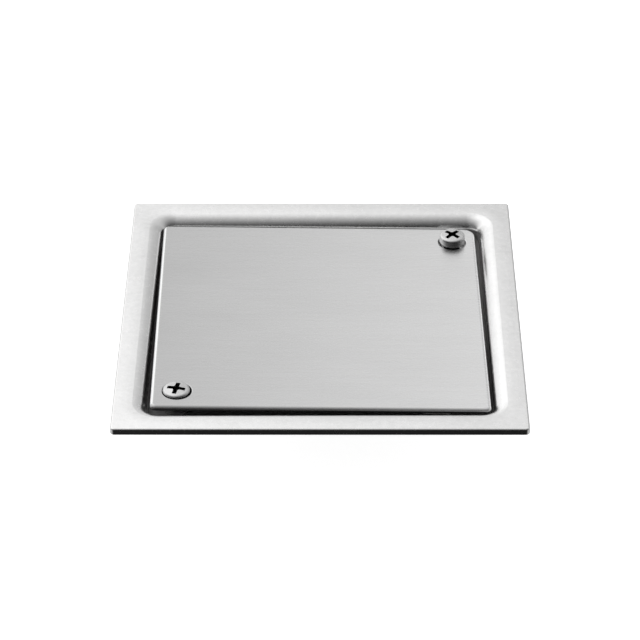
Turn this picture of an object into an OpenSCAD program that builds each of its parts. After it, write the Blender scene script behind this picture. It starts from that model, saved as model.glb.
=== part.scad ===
// Square floor drain with a solid screw-down cover.
// Water runs in through the slot round the cover, over the sump tray and
// down the outlet spigot. Z = 0 is the underside of the flange, where the
// drain sits on the floor; X and Y are centred on the outlet. The cover
// lies a little askew in its frame, low at the rear right corner.

/* [Frame] */
// Outside width of the square frame
frame_w = 150; // [148:1:200]
// Thickness of the frame's pressed sheet
frame_t = 2.5; // [2:0.1:3]
// Clear width of the square well
well_w = 125.2; // [125:0.1:126]
// Radius of the well's corners, on the wall
well_corner_r = 4.5; // [4:0.1:5]
// Outer radius of the edge rolled down into the well
roll_r = 5.9; // [5:0.1:6]
// Radius of the soft crown that leads from the flat flange into the roll
crown_r = 60; // [40:1:80]
// Rounding of the flange's outer top edge
frame_edge_r = 0.7; // [0.3:0.1:0.9]
// Radius of the frame's outer corners
frame_corner_r = 1.5; // [1.2:0.1:6]
// Depth from the top of the flange to the tray's floor
well_depth = 8.2; // [8.2:0.1:9.5]

/* [Sump tray] */
// Thickness of the tray's sheet
tray_t = 1.2; // [1:0.1:1.5]
// Diameter at which the floor starts to fall to the outlet
dish_d = 108; // [100:1:112]
// Fall of the dish
dish_fall = 6.5; // [4:0.1:7]
// Diameter of the flat ring round the outlet
outlet_ring_d = 58; // [56:1:62]

/* [Outlet] */
// Outside diameter of the spigot
spigot_d = 50; // [48:0.5:52]
// Wall of the spigot
spigot_wall = 1.5; // [1:0.1:2]
// Free length of the spigot below the tray
spigot_len = 23; // [20:0.5:60]
// Height of the lip seal on the spigot
seal_h = 7.6; // [7:0.1:10]

/* [Cover] */
// Width of the square cover plate
cover_w = 123.6; // [122.8:0.1:124]
// Thickness of the cover's sheet
cover_t = 1.8; // [1.6:0.1:1.9]
// Radius of the rolled-over top edge
cover_edge_r = 1.4; // [0.4:0.1:1.5]
// Radius of three corners
cover_corner_r = 2; // [1.6:0.1:3]
// Radius of the rear right corner
cover_clip_r = 4.5; // [2:0.1:6]
// Depth of the cover's middle below the top of the flange
cover_drop = 1.67; // [1.5:0.01:1.7]
// Degrees by which the cover slopes down towards the rear
cover_tip_rear = 1.15; // [0:0.05:1.15]
// Degrees by which the cover slopes down towards the right
cover_tip_right = 1.0; // [0.3:0.05:1]
// Degrees by which the cover is turned in its well
cover_turn = 0.5; // [0:0.05:0.5]

/* [Cover screws] */
// Distance of each screw from the middle, along X and along Y
screw_off = 52; // [51.7:0.1:52.2]
// Thread diameter
screw_d = 5; // [4:0.5:5]
// Length under the head
screw_len = 10; // [8:0.5:10]
// Diameter of the pan head
head_d = 10; // [9.4:0.1:10]
// Height of the pan head
head_h = 3.7; // [3.4:0.1:3.8]
// Depth of the head of the rear screw, measured down from the flange's top to the underside of the head
rear_head_depth = 3.6; // [3.5:0.1:3.8]
// Diameter of the pressed seat that takes the head
seat_d = 10.8; // [10.8:0.1:11.2]
// Rounding of the seat's mouth
seat_mouth_r = 0.4; // [0.3:0.1:0.8]
// Depth of that seat
seat_depth = 2.7; // [2.6:0.1:3]

/* [Rests] */
// Width of each folded rest
rest_w = 14; // [8:1:16]
// Thickness of its strip
rest_t = 1.2; // [1:0.1:1.3]

/* [Hidden] */
$fn = 96;

top_z = frame_t;                          // top of the flange
floor_z = top_z - well_depth;             // tray floor, inside
hw = well_w / 2;                          // half the well
corner_c = hw - well_corner_r;            // centre of each well corner
sink = 0.12;                              // fall of the crown, where it meets the roll
wall_t = frame_t - 0.1;                   // the sheet, thinned over the roll
tray_under_z = floor_z - tray_t;
ring_z = floor_z - dish_fall;             // floor of the outlet ring
spigot_top_z = ring_z - tray_t;
spigot_end_z = spigot_top_z - spigot_len;
bore_r = spigot_d / 2 - spigot_wall;
groove_r = spigot_d / 2 - 0.4;            // floor of the seal's groove
groove_h = seal_h + 0.4;                  // its height, up to the tray
seat_wall = 1.1;                          // wall of the pressed seat
seat_floor = 1.0;                         // sheet left under the seat
seat_hole_d = 6.4;                        // clearance hole in the seat
boss_r = 5.5;                             // body of the threaded boss
boss_neck_r = 4.5;                        // neck through the tray
boss_end_z = top_z - 15.9;
slip = 0.05;                              // gap between parts that fit

// The cover's own plane: n is its normal, cover_mid its middle, and
// cover_z() the height of the plane h above the top face at x, y.
cover_mid = [-0.3, 0, top_z - cover_drop];
ax = -cover_tip_rear;
ay = cover_tip_right;
n = [cos(ax) * sin(ay), -sin(ax), cos(ax) * cos(ay)];
function cover_z(x, y, h) = cover_mid[2]
    + (h - n[0] * (x - cover_mid[0]) - n[1] * (y - cover_mid[1])) / n[2];
tilt = sqrt(n[0] * n[0] + n[1] * n[1]) / n[2];
// Axes of the front and the rear screw; the pair stands a little to the left
screw_at = [[-screw_off - 0.3, -screw_off], [screw_off - 0.3, screw_off]];
// The cover's seats sit a little off its screws; seat_at gives them in the cover's plane
front_seat = screw_at[0] + [0.18, -0.22];
rear_seat = screw_at[1] + [0, -0.2];
function in_cover(p) = [(p[0] - cover_mid[0]) * cos(cover_turn) + (p[1] - cover_mid[1]) * sin(cover_turn),
                        (p[1] - cover_mid[1]) * cos(cover_turn) - (p[0] - cover_mid[0]) * sin(cover_turn)];
seat_at = [in_cover(front_seat), in_cover(rear_seat)];

// The boss stops just under the low seat; the front head sits on the high one.
boss_top_z = cover_z(rear_seat[0], rear_seat[1], -seat_depth - seat_floor)
    - (seat_d / 2 + seat_wall) * tilt - 0.04;
front_head_z = cover_z(front_seat[0], front_seat[1], -seat_depth)
    + (head_d / 2 + 0.5) * tilt + 0.02;
rear_head_z = top_z - rear_head_depth;

// What is cut away along an edge on X = 0 at height t to round it by e
module edge_cutter(t, e) {
    k = e * cos(6);
    difference() {
        translate([-k, t - k]) square(k + 1);
        translate([-k, t - k]) circle(e);
    }
}

// Square of width w whose corner radii cr go anticlockwise from the rear right
module slab_outline(w, cr) {
    h = w / 2;
    polygon([for (k = [0:3], p = [[h, h - cr[k]], [h - cr[k], h]])
        [p[0] * cos(90 * k) - p[1] * sin(90 * k), p[0] * sin(90 * k) + p[1] * cos(90 * k)]]);
    for (k = [0:3]) rotate(90 * k) translate([h - cr[k], h - cr[k]]) circle(cr[k]);
}

// Slab of that outline and thickness t on Z = 0, its top edge rounded by e
module soft_slab(w, t, e, cr) {
    h = w / 2;
    difference() {
        linear_extrude(t) slab_outline(w, cr);
        for (k = [0:3]) rotate([0, 0, 90 * k]) {
            // c0 is the corner ahead of the right-hand edge, c1 the one behind it
            c0 = cr[k];
            c1 = cr[(k + 3) % 4];
            translate([h, -h + c1 - 0.05, 0]) rotate([90, 0, 180]) mirror([1, 0, 0])
                linear_extrude(w - c0 - c1 + 0.1) edge_cutter(t, e);
            translate([h - c0, h - c0, 0]) rotate_extrude(angle = 90)
                translate([c0, 0]) edge_cutter(t, e);
        }
    }
}

// Square of width w with corner radius r
module round_square(w, r) {
    h = w / 2 - r;
    square([w, 2 * h], center = true);
    square([2 * h, w], center = true);
    for (x = [-h, h], y = [-h, h]) translate([x, y]) circle(r);
}

// Quarter of a bend between radii r0 and r1 about c, in the quadrant q
module bend(c, r0, r1, q) {
    translate(c) intersection() {
        difference() { circle(r1); circle(r0); }
        translate([q[0] < 0 ? -r1 - 1 : 0, q[1] < 0 ? -r1 - 1 : 0]) square(r1 + 1);
    }
}

// Section of the frame, x counted from the centre of a well corner: the wall,
// the roll, the crown that leads into it and the flat flange
module frame_profile() {
    out = frame_w / 2 - corner_c + 12;
    c = [well_corner_r + roll_r, top_z - roll_r - sink];
    // the crown's centre lies so that the roll just reaches it
    d = crown_r - roll_r;
    x1 = c[0] + sqrt((sink + 0.001) * (2 * d - sink));
    r0 = roll_r - wall_t;
    difference() {
        intersection() {
            union() {
                translate([x1, top_z - crown_r]) circle(crown_r, $fn = 720);
                translate([x1, floor_z - 1]) square([out - x1, top_z - floor_z + 1]);
            }
            union() {
                translate(c) circle(roll_r);
                translate([well_corner_r, floor_z]) square([roll_r, c[1] - floor_z]);
                translate([c[0] - roll_r * (x1 - c[0]) / d, floor_z])
                    square([out - c[0] + roll_r, top_z - floor_z + 1]);
            }
        }
        translate([c[0], -r0]) circle(r0);
        translate([c[0], floor_z - 9]) square([out, 9 - floor_z]);
        translate([well_corner_r + wall_t, floor_z - 9]) square([r0 + 1, 9 - floor_z - r0]);
        translate([0, floor_z - 9]) square([out, 9]);
    }
}

module frame() color([0.87, 0.87, 0.86])
    intersection() {
        translate([0, 0, -20])
            soft_slab(frame_w, 20 + top_z, frame_edge_r, [for (i = [0:3]) frame_corner_r]);
        for (k = [0:3]) rotate([0, 0, 90 * k]) {
            translate([corner_c, -corner_c, 0]) rotate([90, 0, 180]) mirror([1, 0, 0])
                linear_extrude(2 * corner_c) frame_profile();
            translate([corner_c, corner_c, 0])
                rotate_extrude(angle = 90) frame_profile();
        }
    }

module sump_tray() color([0.78, 0.78, 0.77])
    difference() {
        union() {
            join_r = dish_d / 2 + 3;
            translate([0, 0, tray_under_z]) linear_extrude(tray_t) difference() {
                round_square(well_w + 2 * wall_t, well_corner_r + wall_t);
                circle(join_r);
            }
            fall = atan(dish_fall / (dish_d / 2 - outlet_ring_d / 2));
            s = tray_t * tan(fall / 2);
            rotate_extrude() polygon([
                [join_r, floor_z], [dish_d / 2, floor_z],
                [outlet_ring_d / 2, ring_z], [bore_r, ring_z],
                [bore_r, ring_z - tray_t], [outlet_ring_d / 2 + s, ring_z - tray_t],
                [dish_d / 2 + s, tray_under_z], [join_r, tray_under_z]]);
        }
        for (p = screw_at) translate([p[0], p[1], tray_under_z - 1])
            cylinder(r = boss_neck_r + slip, h = tray_t + 2);
    }

// Tube, turned down at the top where the seal sits
module outlet_spigot() color([0.80, 0.80, 0.79])
    translate([0, 0, spigot_end_z]) difference() {
        union() {
            cylinder(d = spigot_d, h = spigot_len - groove_h);
            cylinder(r = groove_r, h = spigot_len);
        }
        translate([0, 0, -1]) cylinder(r = bore_r, h = spigot_len + 2);
    }

// Rubber ring stretched over the spigot, with two lips that face up
module spigot_seal() color([0.13, 0.13, 0.13])
    translate([0, 0, spigot_top_z - seal_h]) rotate_extrude() {
        r = groove_r + slip;
        polygon([[r, 0], [r + 1.9, 0], [r + 3.4, 1.9], [r + 3.2, 2.5], [r + 1.8, 1.7],
                 [r + 1.8, 3.2], [r + 3.4, 5.1], [r + 3.2, 5.7], [r + 1.8, 4.9],
                 [r + 1.8, seal_h], [r, seal_h]]);
    }

// Closed boss welded under the tray, its neck standing just above the floor
module screw_boss(p) translate([p[0], p[1], 0])
    difference() {
        union() {
            translate([0, 0, boss_end_z])
                cylinder(r = boss_r, h = tray_under_z - boss_end_z);
            translate([0, 0, tray_under_z - 1])
                cylinder(r = boss_neck_r, h = boss_top_z - tray_under_z + 1);
        }
        translate([0, 0, boss_end_z + 1.2])
            cylinder(r = screw_d / 2 + slip, h = boss_top_z - boss_end_z);
    }
module screw_boss_front() color([0.70, 0.70, 0.69]) screw_boss(screw_at[0]);
module screw_boss_rear() color([0.70, 0.70, 0.69]) screw_boss(screw_at[1]);

// Folded strip: a foot on the tray, a riser and a ledge of height h
rest_foot = 8;
rest_ledge = 8;
bend_i = 0.7;
bend_o = bend_i + rest_t;
module rest_profile(h) {
    square([rest_foot, rest_t]);
    bend([rest_foot, bend_o], bend_i, bend_o, [1, -1]);
    translate([rest_foot + bend_i, bend_o]) square([rest_t, h - 2 * bend_o]);
    bend([rest_foot + bend_i + bend_o, h - bend_o], bend_i, bend_o, [-1, 1]);
    translate([rest_foot + bend_i + bend_o, h - rest_t]) square([rest_ledge, rest_t]);
}
// The rest at the front right stands with its foot towards the corner
rest_x = 56;
rest_y = -53;
ledge_x0 = rest_x - rest_foot - bend_i - bend_o - rest_ledge;
function lowest(pts) = min([for (p = pts) cover_z(p[0], p[1], -cover_t)]) - 0.02;
function whole(h) = floor(h * 100) / 100; // down to a hundredth
right_ledge_z = lowest([for (x = [ledge_x0, ledge_x0 + rest_ledge + bend_o],
                             y = [rest_y - rest_w / 2, rest_y + rest_w / 2]) [x, y]]);
left_ledge_z = lowest([for (x = [ledge_x0, ledge_x0 + rest_ledge + bend_o],
                            y = [rest_y - rest_w / 2, rest_y + rest_w / 2]) [y, x]]);
module rest(h) translate([rest_x, rest_y + rest_w / 2, floor_z]) mirror([1, 0, 0])
    rotate([90, 0, 0]) linear_extrude(rest_w) rest_profile(h);
module cover_rest_right() color([0.75, 0.75, 0.74]) rest(whole(right_ledge_z - floor_z));
module cover_rest_left() color([0.75, 0.75, 0.74])
    mirror([1, -1, 0]) rest(whole(left_ledge_z - floor_z));

// Flat plate with a rolled-over edge and a pressed seat for each screw head
module cover_plate() color([0.80, 0.80, 0.80])
    translate(cover_mid) rotate([ax, ay, 0]) rotate([0, 0, cover_turn])
        difference() {
            union() {
                translate([0, 0, -cover_t]) soft_slab(cover_w, cover_t, cover_edge_r,
                    [cover_clip_r, cover_corner_r, cover_corner_r, cover_corner_r]);
                for (s = seat_at) translate([s[0], s[1], -seat_depth - seat_floor])
                    cylinder(d = seat_d + 2 * seat_wall, h = seat_depth + seat_floor - cover_t / 2);
            }
            for (s = seat_at) translate([s[0], s[1], 0]) {
                translate([0, 0, -seat_depth]) cylinder(d = seat_d, h = seat_depth + 1);
                translate([0, 0, -seat_depth - seat_floor - 1])
                    cylinder(d = seat_hole_d, h = seat_floor + 2);
                rotate_extrude() translate([seat_d / 2, 0]) mirror([1, 0])
                    edge_cutter(0, seat_mouth_r);
            }
        }

// Pan head with its underside on Z = 0: a dome of radius dome_r runs
// tangent into a small shoulder and an upright flank
dome_r = 28;
shoulder_r = 0.9;
module head_profile() {
    sx = head_d / 2 - shoulder_r;
    dz = head_h - dome_r;
    sz = dz + sqrt(pow(dome_r - shoulder_r, 2) - sx * sx);
    a = atan2(sz - dz, sx);
    u = [cos(a), sin(a)];                 // from the shoulder's centre to the dome
    polygon([[0, 0], [head_d / 2 - 0.2, 0], [head_d / 2, 0.2], [head_d / 2, sz], [0, sz]]);
    intersection() {
        translate([sx, sz]) circle(shoulder_r);
        polygon([[sx, sz], [sx + 2 * shoulder_r, sz], [sx + 2 * shoulder_r, sz + 2 * shoulder_r],
                 [sx, sz] + 2 * shoulder_r * u]);
    }
    intersection() {
        translate([0, dz]) circle(dome_r);
        polygon([[0, sz], [sx, sz], [sx, sz] + 2 * shoulder_r * u, [sx, head_h + 2], [0, head_h + 2]]);
    }
}

// Cross recess: two tapering slots and the pointed core between them
cross_w = 6.6;                            // across the wings, on the dome
cross_slot = 1.6;
cross_depth = 2.7;
module cross_recess() {
    for (k = [0, 90]) rotate([0, 0, k]) hull() {
        translate([0, 0, head_h + 0.3]) cube([cross_w + 0.9, cross_slot + 0.1, 0.1], center = true);
        translate([0, 0, head_h - cross_depth]) cube([2.4, cross_slot - 0.4, 0.1], center = true);
    }
    translate([0, 0, head_h - cross_depth - 0.5]) cylinder(d1 = 0.4, d2 = 3.2, h = cross_depth + 0.8);
}

module cover_screw(turn) difference() {
    union() {
        rotate_extrude() head_profile();
        translate([0, 0, -screw_len + 0.5]) cylinder(d = screw_d - 0.1, h = screw_len);
        translate([0, 0, -screw_len]) cylinder(d1 = screw_d - 1.1, d2 = screw_d - 0.1, h = 0.5);
    }
    rotate([0, 0, turn]) cross_recess();
}
module cover_screw_front() color([0.83, 0.83, 0.83])
    translate([screw_at[0][0], screw_at[0][1], front_head_z]) cover_screw(-12);
module cover_screw_rear() color([0.83, 0.83, 0.83])
    translate([screw_at[1][0], screw_at[1][1], rear_head_z]) cover_screw(47);

frame();
sump_tray();
outlet_spigot();
spigot_seal();
screw_boss_front();
screw_boss_rear();
cover_rest_right();
cover_rest_left();
cover_plate();
cover_screw_front();
cover_screw_rear();
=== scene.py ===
import math

import bpy
from mathutils import Matrix, Vector

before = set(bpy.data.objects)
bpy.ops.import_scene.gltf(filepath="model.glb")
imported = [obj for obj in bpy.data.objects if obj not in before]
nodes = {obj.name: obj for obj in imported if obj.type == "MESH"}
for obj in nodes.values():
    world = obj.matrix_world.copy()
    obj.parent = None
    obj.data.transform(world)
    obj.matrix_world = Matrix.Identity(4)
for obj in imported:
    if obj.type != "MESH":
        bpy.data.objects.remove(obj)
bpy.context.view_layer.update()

TOP = 0.0025        # top of the flange
FLOOR = -0.0364     # the end of the spigot, on which the drain stands


# ---------------------------------------------------------------- node helpers
class Tree:
    """A short way to write a node tree."""

    def __init__(self, tree):
        self.tree = tree

    def node(self, kind, **inputs):
        n = self.tree.nodes.new(kind)
        for key, value in inputs.items():
            if key.startswith("p_"):
                setattr(n, key[2:], value)
        for key, value in inputs.items():
            if key.startswith("p_"):
                continue
            socket = n.inputs[int(key[1:])] if key[0] == "i" and key[1:].isdigit() else n.inputs[key.replace("_", " ")]
            if isinstance(value, bpy.types.NodeSocket):
                self.tree.links.new(value, socket)
            else:
                socket.default_value = value
        return n

    def math(self, op, a, b=0.0, clamp=False):
        return self.node("ShaderNodeMath", p_operation=op, p_use_clamp=clamp, i0=a, i1=b).outputs[0]

    def ramp(self, fac, stops, interpolation="LINEAR"):
        n = self.node("ShaderNodeValToRGB", i0=fac)
        r = n.color_ramp
        r.interpolation = interpolation
        while len(r.elements) > 1:
            r.elements.remove(r.elements[-1])
        for i, (pos, value) in enumerate(stops):
            e = r.elements[0] if i == 0 else r.elements.new(pos)
            e.position = pos
            c = value if isinstance(value, tuple) else (value, value, value)
            e.color = (c[0], c[1], c[2], 1.0)
        return n.outputs[0]

    def remap(self, value, lo, hi, to_lo, to_hi):
        return self.node("ShaderNodeMapRange", p_clamp=True, i0=value, i1=lo, i2=hi, i3=to_lo, i4=to_hi).outputs[0]

    def noise(self, vector, scale, detail=2.0, rough=0.5):
        return self.node("ShaderNodeTexNoise", Vector=vector, Scale=scale, Detail=detail, Roughness=rough).outputs[0]

    def stretched(self, factors):
        """Object coordinates in millimetres, each axis times a factor."""
        co = self.node("ShaderNodeTexCoord").outputs["Object"]
        return self.node("ShaderNodeVectorMath", p_operation="MULTIPLY", i0=co,
                         i1=tuple(f * 1000.0 for f in factors)).outputs[0]

    def bump(self, height, strength, distance, normal=None):
        extra = {"Normal": normal} if normal is not None else {}
        return self.node("ShaderNodeBump", Height=height, Strength=strength, Distance=distance, **extra).outputs[0]


def new_material(name):
    m = bpy.data.materials.new(name)
    m.use_nodes = True
    m.node_tree.nodes.clear()
    return m, Tree(m.node_tree)


def finish_material(t, **inputs):
    bsdf = t.node("ShaderNodeBsdfPrincipled", **inputs)
    t.node("ShaderNodeOutputMaterial", Surface=bsdf.outputs[0])


def grey(t, value, warm=0.0):
    """A grey of that value, a little warmer or cooler."""
    return t.node("ShaderNodeCombineColor", i0=t.math("MULTIPLY", value, 1.0 + warm), i1=value,
                  i2=t.math("MULTIPLY", value, 1.0 - warm)).outputs[0]


def crevice(t, distance, open_at, shut_at):
    """0 on open faces, 1 deep in a slot or a recess: a mask for painted shade."""
    ao = t.node("ShaderNodeAmbientOcclusion", p_samples=12, Distance=distance).outputs["AO"]
    return t.remap(ao, shut_at, open_at, 1.0, 0.0)


def soiled(t, base, dirt, left):
    """base, darkened down to the part left of it where amount is 1; used for painted shade, for soil in the screw
    recess and for the darker tray faces.
    """
    return t.math("MULTIPLY", base, t.remap(dirt, 0.0, 1.0, 1.0, left))


def place(t):
    """Object coordinates in millimetres, as three separate values."""
    return t.node("ShaderNodeSeparateXYZ", i0=t.stretched((1, 1, 1))).outputs


def screw_reach(t):
    """Distance in millimetres from the axis of the nearer cover screw."""
    off = t.node("ShaderNodeVectorMath", p_operation="ABSOLUTE", i0=t.stretched((1, 1, 0))).outputs[0]
    return t.node("ShaderNodeVectorMath", p_operation="DISTANCE", i0=off, i1=(52.0, 52.0, 0.0)).outputs["Value"]


def edge_mask(t, radius):
    """1 along convex and concave edges, 0 on open faces."""
    rounded = t.node("ShaderNodeBevel", p_samples=6, Radius=radius).outputs[0]
    plain = t.node("ShaderNodeNewGeometry").outputs["Normal"]
    dot = t.node("ShaderNodeVectorMath", p_operation="DOT_PRODUCT", i0=rounded, i1=plain).outputs["Value"]
    return t.remap(dot, 0.995, 0.80, 0.0, 1.0)


# ---------------------------------------------------------------- materials
def frame_steel():
    """Pressed sheet, pickled to a satin with a soft mottle; painted lighter towards the front, and the well below is
    painted darker as painted shade.
    """
    m, t = new_material("frame_steel")
    mm = t.stretched((1, 1, 1))
    cloud = t.noise(mm, 0.09, 3.0)
    mottle = t.noise(mm, 0.45, 4.0, 0.6)
    grain = t.noise(mm, 7.0, 2.0, 0.6)
    tone = t.math("ADD", t.remap(cloud, 0.3, 0.7, -0.02, 0.02), t.remap(mottle, 0.3, 0.7, -0.028, 0.028))
    tone = t.math("ADD", tone, t.remap(grain, 0.3, 0.7, -0.012, 0.012))
    wear = t.math("MULTIPLY", edge_mask(t, 0.0004), 0.04)
    # painted light: the flange is painted lighter towards the front and darker towards the back
    base = t.math("ADD", t.math("ADD", t.remap(place(t)[1], -75.0, 75.0, 0.865, 0.81), tone), wear)
    # painted shade: the well is painted darker, duller and less metallic the deeper it goes
    depth = t.math("ADD", place(t)[2], t.remap(mottle, 0.3, 0.7, -0.3, 0.3))
    stain = t.remap(depth, -1.4, -4.2, 0.0, 1.0)
    base = soiled(t, base, stain, 0.60)
    rough = t.math("ADD", t.remap(mottle, 0.3, 0.7, 0.22, 0.28), t.remap(grain, 0.3, 0.7, -0.01, 0.01))
    rough = t.math("ADD", rough, t.math("MULTIPLY", stain, 0.25))
    normal = t.bump(grain, 0.10, 0.00002)
    normal = t.bump(t.noise(mm, 0.35, 2.0), 0.16, 0.0002, normal)
    finish_material(t, Base_Color=grey(t, base, 0.002), Metallic=t.remap(stain, 0.0, 1.0, 1.0, 0.4),
                    Roughness=rough, Normal=normal)
    return m


def cover_steel():
    """Brushed from left to right."""
    m, t = new_material("cover_steel")
    fine = t.noise(t.stretched((0.05, 9.0, 9.0)), 1.0, 3.0, 0.65)
    lines = t.noise(t.stretched((0.016, 1.6, 1.6)), 1.0, 3.0, 0.6)
    cloud = t.noise(t.stretched((0.02, 0.05, 0.05)), 1.0, 2.0)
    x = place(t)[0]
    tone = t.math("ADD", t.remap(fine, 0.3, 0.7, -0.02, 0.02), t.remap(lines, 0.3, 0.7, -0.014, 0.014))
    tone = t.math("ADD", tone, t.remap(cloud, 0.3, 0.7, -0.012, 0.012))
    # painted light: the plate is painted darker on the left and lighter on the right
    tone = t.math("ADD", tone, t.remap(x, -62.0, 62.0, -0.15, 0.15))
    wear = t.math("MULTIPLY", edge_mask(t, 0.0003), 0.05)
    base = t.math("ADD", t.math("ADD", 0.685, tone), wear)
    # painted highlight on the rounded top edge, except on the front one
    facing = t.node("ShaderNodeSeparateXYZ", i0=t.node("ShaderNodeNewGeometry").outputs["Normal"]).outputs
    upright = facing[2]
    bright = t.math("MULTIPLY", t.remap(upright, 0.99, 0.93, 0.0, 1.0), t.remap(facing[1], -0.12, 0.0, 0.0, 1.0))
    base = t.math("ADD", base, t.math("MULTIPLY", t.math("SUBTRACT", 0.97, base), bright))
    # painted shade in the crevices around the screw seats and along the edges of the plate
    base = soiled(t, base, crevice(t, 0.0025, 0.36, 0.10), 0.35)
    # painted shade: the plate's side faces, down in the gap to the frame, are painted near-black, less so near the
    # screw seats
    cut = t.math("MULTIPLY", t.remap(upright, 0.55, 0.25, 0.0, 1.0), t.remap(screw_reach(t), 7.0, 8.0, 0.15, 1.0))
    base = soiled(t, base, cut, 0.05)
    rough = t.math("ADD", t.remap(fine, 0.3, 0.7, 0.25, 0.31), t.remap(lines, 0.3, 0.7, -0.015, 0.015))
    normal = t.bump(fine, 0.10, 0.00002)
    normal = t.bump(lines, 0.05, 0.00006, normal)
    across = t.node("ShaderNodeCombineXYZ", i0=0.0, i1=1.0, i2=0.0).outputs[0]
    finish_material(t, Base_Color=grey(t, base), Metallic=1.0, Roughness=rough, Normal=normal,
                    Anisotropic=0.6, Tangent=across)
    return m


def screw_steel():
    """Cold-headed screw: bright, with faint marks, and a recess painted near-black with painted shade and soil;
    painted shade also darkens its crevices and steep flanks.
    """
    m, t = new_material("screw_steel")
    mm = t.stretched((1, 1, 1))
    mottle = t.noise(mm, 0.9, 3.0, 0.6)
    grain = t.noise(mm, 9.0, 2.0, 0.6)
    tone = t.math("ADD", t.remap(mottle, 0.3, 0.7, -0.04, 0.04), t.remap(grain, 0.3, 0.7, -0.02, 0.02))
    wear = t.math("MULTIPLY", edge_mask(t, 0.00015), 0.05)
    base = t.math("ADD", t.math("ADD", 0.64, tone), wear)
    # painted shade in the crevices of the head and under it
    base = soiled(t, base, crevice(t, 0.002, 0.60, 0.30), 0.30)
    facing = t.node("ShaderNodeSeparateXYZ", i0=t.node("ShaderNodeNewGeometry").outputs["Normal"]).outputs
    upright = facing[2]
    # painted shade on the steep flanks of the head: full on those facing front and back, a fifth on those facing left,
    # half on those facing right
    front = t.math("MULTIPLY", t.remap(facing[0], -0.75, -0.35, 0.2, 1.0), t.remap(facing[0], 0.35, 0.75, 1.0, 0.5))
    base = soiled(t, base, t.math("MULTIPLY", t.remap(upright, 0.50, 0.20, 0.0, 1.0), front), 0.33)
    # painted shade and soil fill the recess: every sloping face near the middle of the head, and the deepest crevices,
    # painted near-black
    grime = t.math("MULTIPLY", t.remap(upright, 0.97, 0.93, 0.0, 1.0), t.remap(screw_reach(t), 3.9, 3.7, 0.0, 1.0))
    base = soiled(t, base, t.math("MAXIMUM", grime, crevice(t, 0.002, 0.30, 0.15)), 0.02)
    rough = t.math("ADD", t.remap(mottle, 0.3, 0.7, 0.24, 0.32), t.remap(grain, 0.3, 0.7, -0.015, 0.015))
    rough = t.math("ADD", rough, t.math("MULTIPLY", grime, 0.35))
    normal = t.bump(grain, 0.08, 0.00001)
    finish_material(t, Base_Color=grey(t, base), Metallic=1.0, Roughness=rough, Normal=normal)
    return m


def tray_steel():
    """Dull mill sheet; inside, its upward faces are darker, duller and less metallic."""
    m, t = new_material("tray_steel")
    mm = t.stretched((1, 1, 1))
    cloud = t.noise(mm, 0.05, 3.0, 0.6)
    mottle = t.noise(mm, 0.5, 4.0, 0.6)
    grain = t.noise(mm, 6.0, 2.0, 0.6)
    tone = t.math("ADD", t.remap(cloud, 0.3, 0.7, -0.04, 0.04), t.remap(mottle, 0.3, 0.7, -0.03, 0.03))
    tone = t.math("ADD", tone, t.remap(grain, 0.3, 0.7, -0.02, 0.02))
    wear = t.math("MULTIPLY", edge_mask(t, 0.0005), 0.06)
    base = t.math("ADD", t.math("ADD", 0.56, tone), wear)
    up = t.node("ShaderNodeSeparateXYZ", i0=t.node("ShaderNodeNewGeometry").outputs["Normal"]).outputs[2]
    # upward faces are darker, duller and less metallic, unevenly
    film = t.math("MULTIPLY", t.remap(up, -0.2, 0.3, 0.0, 1.0), t.remap(mottle, 0.25, 0.6, 0.85, 1.0))
    base = soiled(t, base, film, 0.55)
    rough = t.math("ADD", t.remap(mottle, 0.3, 0.7, 0.36, 0.46), t.math("MULTIPLY", film, 0.25))
    normal = t.bump(grain, 0.15, 0.00003)
    finish_material(t, Base_Color=grey(t, base, 0.004), Metallic=t.remap(film, 0.0, 1.0, 1.0, 0.15),
                    Roughness=rough, Normal=normal)
    return m


def seal_rubber():
    m, t = new_material("seal_rubber")
    mm = t.stretched((1, 1, 1))
    dust = t.noise(mm, 0.25, 4.0, 0.6)
    grain = t.noise(mm, 5.0, 3.0, 0.6)
    base = t.math("ADD", t.remap(dust, 0.4, 0.75, 0.018, 0.045), t.remap(grain, 0.3, 0.7, -0.004, 0.004))
    base = t.math("ADD", base, t.math("MULTIPLY", edge_mask(t, 0.0003), 0.02))
    rough = t.remap(dust, 0.3, 0.7, 0.52, 0.68)
    normal = t.bump(grain, 0.2, 0.00004)
    finish_material(t, Base_Color=grey(t, base), Roughness=rough, Normal=normal)
    return m


LOOKS = {
    frame_steel: ["frame"],
    cover_steel: ["cover_plate"],
    screw_steel: ["cover_screw_front", "cover_screw_rear"],
    tray_steel: ["sump_tray", "outlet_spigot", "screw_boss_front", "screw_boss_rear",
                 "cover_rest_right", "cover_rest_left"],
    seal_rubber: ["spigot_seal"],
}
for make, names in LOOKS.items():
    material = make()
    for name in names:
        obj = nodes[name]
        if not obj.material_slots:
            obj.data.materials.append(material)
        for slot in obj.material_slots:
            slot.material = material


# ---------------------------------------------------------------- floor
def floor():
    size = 4.0
    mesh = bpy.data.meshes.new("floor")
    mesh.from_pydata([(-size, -size, FLOOR), (size, -size, FLOOR), (size, size, FLOOR), (-size, size, FLOOR)],
                     [], [(0, 1, 2, 3)])
    obj = bpy.data.objects.new("floor", mesh)
    bpy.context.scene.collection.objects.link(obj)
    m, t = new_material("floor_white")
    finish_material(t, Base_Color=(0.86, 0.86, 0.86, 1.0), Roughness=0.9,
                    Emission_Color=(1.0, 1.0, 1.0, 1.0), Emission_Strength=0.89)
    mesh.materials.append(m)
    obj.visible_glossy = False    # a matt paper: metal doesn't mirror it


floor()


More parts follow.
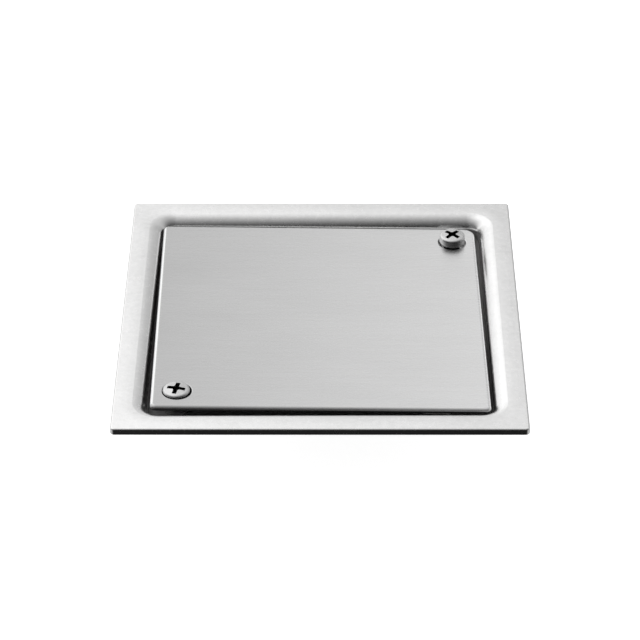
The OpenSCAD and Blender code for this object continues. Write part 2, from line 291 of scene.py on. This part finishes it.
# ---------------------------------------------------------------- studio light
def studio():
    """A large soft sky: bright over the back and the left, dark low on the front."""
    world = bpy.data.worlds.new("studio")
    bpy.context.scene.world = world
    world.use_nodes = True
    world.node_tree.nodes.clear()
    t = Tree(world.node_tree)
    d = t.node("ShaderNodeSeparateXYZ", i0=t.node("ShaderNodeTexCoord").outputs["Generated"]).outputs
    # angle in the plane of front, top and back: 0 is the front horizon, 90 is up, 180 is the back horizon
    front = t.math("MULTIPLY", d[1], -1.0)
    angle = t.math("MULTIPLY", t.math("ARCTAN2", d[2], front), 180.0 / math.pi)
    fac = t.math("DIVIDE", t.math("ADD", angle, 180.0), 360.0)

    def at(deg):
        return (deg + 180.0) / 360.0

    arch = t.ramp(fac, [(at(-180), 0.42), (at(-150), 0.25), (at(-110), 0.10), (at(-60), 0.012), (at(8), 0.012),
                        (at(30), 0.10), (at(50), 0.25), (at(80), 0.55), (at(100), 0.80), (at(128), 1.0),
                        (at(140), 1.0), (at(150), 0.78), (at(165), 0.80), (at(179), 0.70)])
    side = t.ramp(t.remap(d[0], -1.0, 1.0, 0.0, 1.0),
                  [(0.0, 0.70), (0.20, 0.82), (0.34, 0.94), (0.42, 0.83), (0.50, 0.62), (0.60, 0.48), (1.0, 0.36)])
    arch = t.node("ShaderNodeRGBToBW", i0=arch).outputs[0]
    side = t.node("ShaderNodeRGBToBW", i0=side).outputs[0]
    value = t.math("MULTIPLY", t.math("MULTIPLY", arch, side), 1.6)
    # below the horizon the bright floor shows on both sides
    low = t.remap(d[2], 0.0, -0.25, 0.0, 0.55)
    value = t.math("ADD", value, t.math("MULTIPLY", low, t.remap(t.math("ABSOLUTE", d[0]), 0.45, 0.80, 0.0, 1.0)))
    sky = t.node("ShaderNodeBackground", Color=(1.0, 1.0, 1.0, 1.0), Strength=value).outputs[0]
    plain = t.node("ShaderNodeBackground", Color=(0.95, 0.95, 0.95, 1.0), Strength=1.0).outputs[0]
    seen = t.node("ShaderNodeLightPath").outputs["Is Camera Ray"]
    mix = t.node("ShaderNodeMixShader", i0=seen, i1=sky, i2=plain).outputs[0]
    t.node("ShaderNodeOutputWorld", Surface=mix)


studio()
view = bpy.context.scene.view_settings
view.view_transform = "Standard"
view.look = "None"
view.exposure = 0.0
view.gamma = 1.0


# ---------------------------------------------------------------- camera
def camera():
    """Seen from the front at 35 degrees, from about a metre, through a long lens."""
    el, yaw, roll = math.radians(34.979), math.radians(0.349), math.radians(-0.200)
    distance, focal_px = 1.026, 2722.0
    target = Vector((-0.00023, -0.00704, TOP))
    back = Vector((math.sin(yaw) * math.cos(el), -math.cos(yaw) * math.cos(el), math.sin(el)))
    right = Vector((math.cos(yaw), math.sin(yaw), 0.0))
    up = back.cross(right)
    r2 = math.cos(roll) * right + math.sin(roll) * up
    u2 = -math.sin(roll) * right + math.cos(roll) * up
    data = bpy.data.cameras.new("camera")
    data.sensor_fit = "HORIZONTAL"
    data.sensor_width = 36.0
    data.lens = focal_px * 36.0 / 640.0
    data.clip_start = 0.05
    data.clip_end = 20.0
    obj = bpy.data.objects.new("camera", data)
    m = Matrix.Identity(4)
    for i in range(3):
        m[i][0], m[i][1], m[i][2] = r2[i], u2[i], back[i]
        m[i][3] = (target + back * distance)[i]
    obj.matrix_world = m
    bpy.context.scene.collection.objects.link(obj)
    bpy.context.scene.camera = obj


camera()
